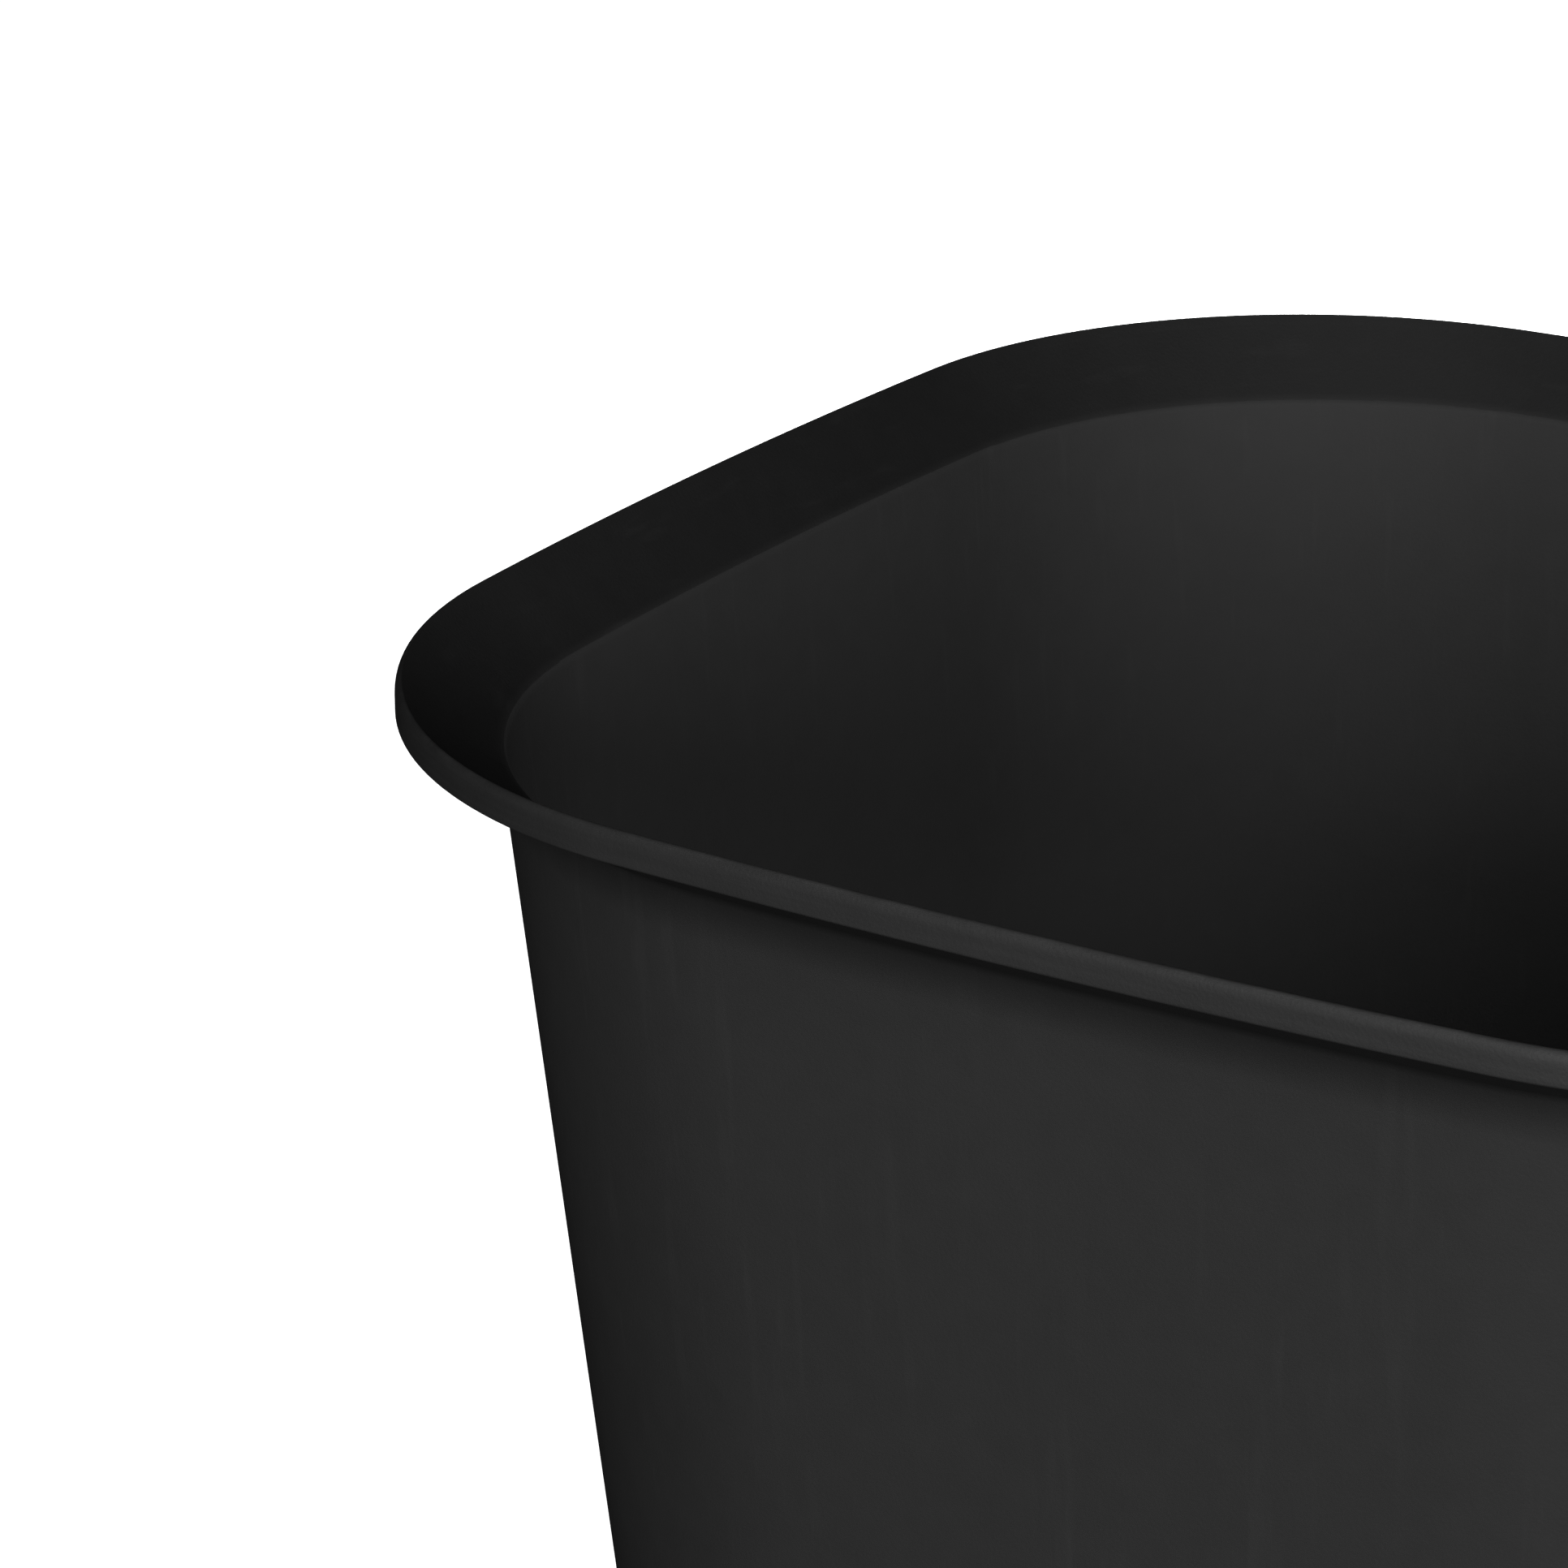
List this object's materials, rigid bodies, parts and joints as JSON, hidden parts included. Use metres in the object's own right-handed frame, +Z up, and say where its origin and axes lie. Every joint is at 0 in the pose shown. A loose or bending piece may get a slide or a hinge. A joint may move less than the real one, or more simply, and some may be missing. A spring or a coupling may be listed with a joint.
{
  "type": "florist bucket",
  "caption": "Square tapered florist bucket with round corners, a flared collar and a turned-down rim, for standing cut flowers in water.",
  "frame": {"origin": "centre of the footprint, on the ground under the foot ring", "axes": "+Z up out of the mouth, X and Y square to the four sides"},
  "size_m": [0.2912, 0.2912, 0.35],
  "materials": {
    "shell_plastic": "matte black moulded polypropylene with a very fine grain",
    "rim_plastic": "the same black polypropylene, slightly burnished on the rolled edge",
    "foot_plastic": "the same black polypropylene, scuffed where it stands"
  },
  "bodies": {
    "root": {"rim_lip": "rim_plastic", "flared_collar": "shell_plastic", "side_wall": "shell_plastic", "floor_panel": "shell_plastic", "foot_ring": "foot_plastic"}
  },
  "joints": []
}
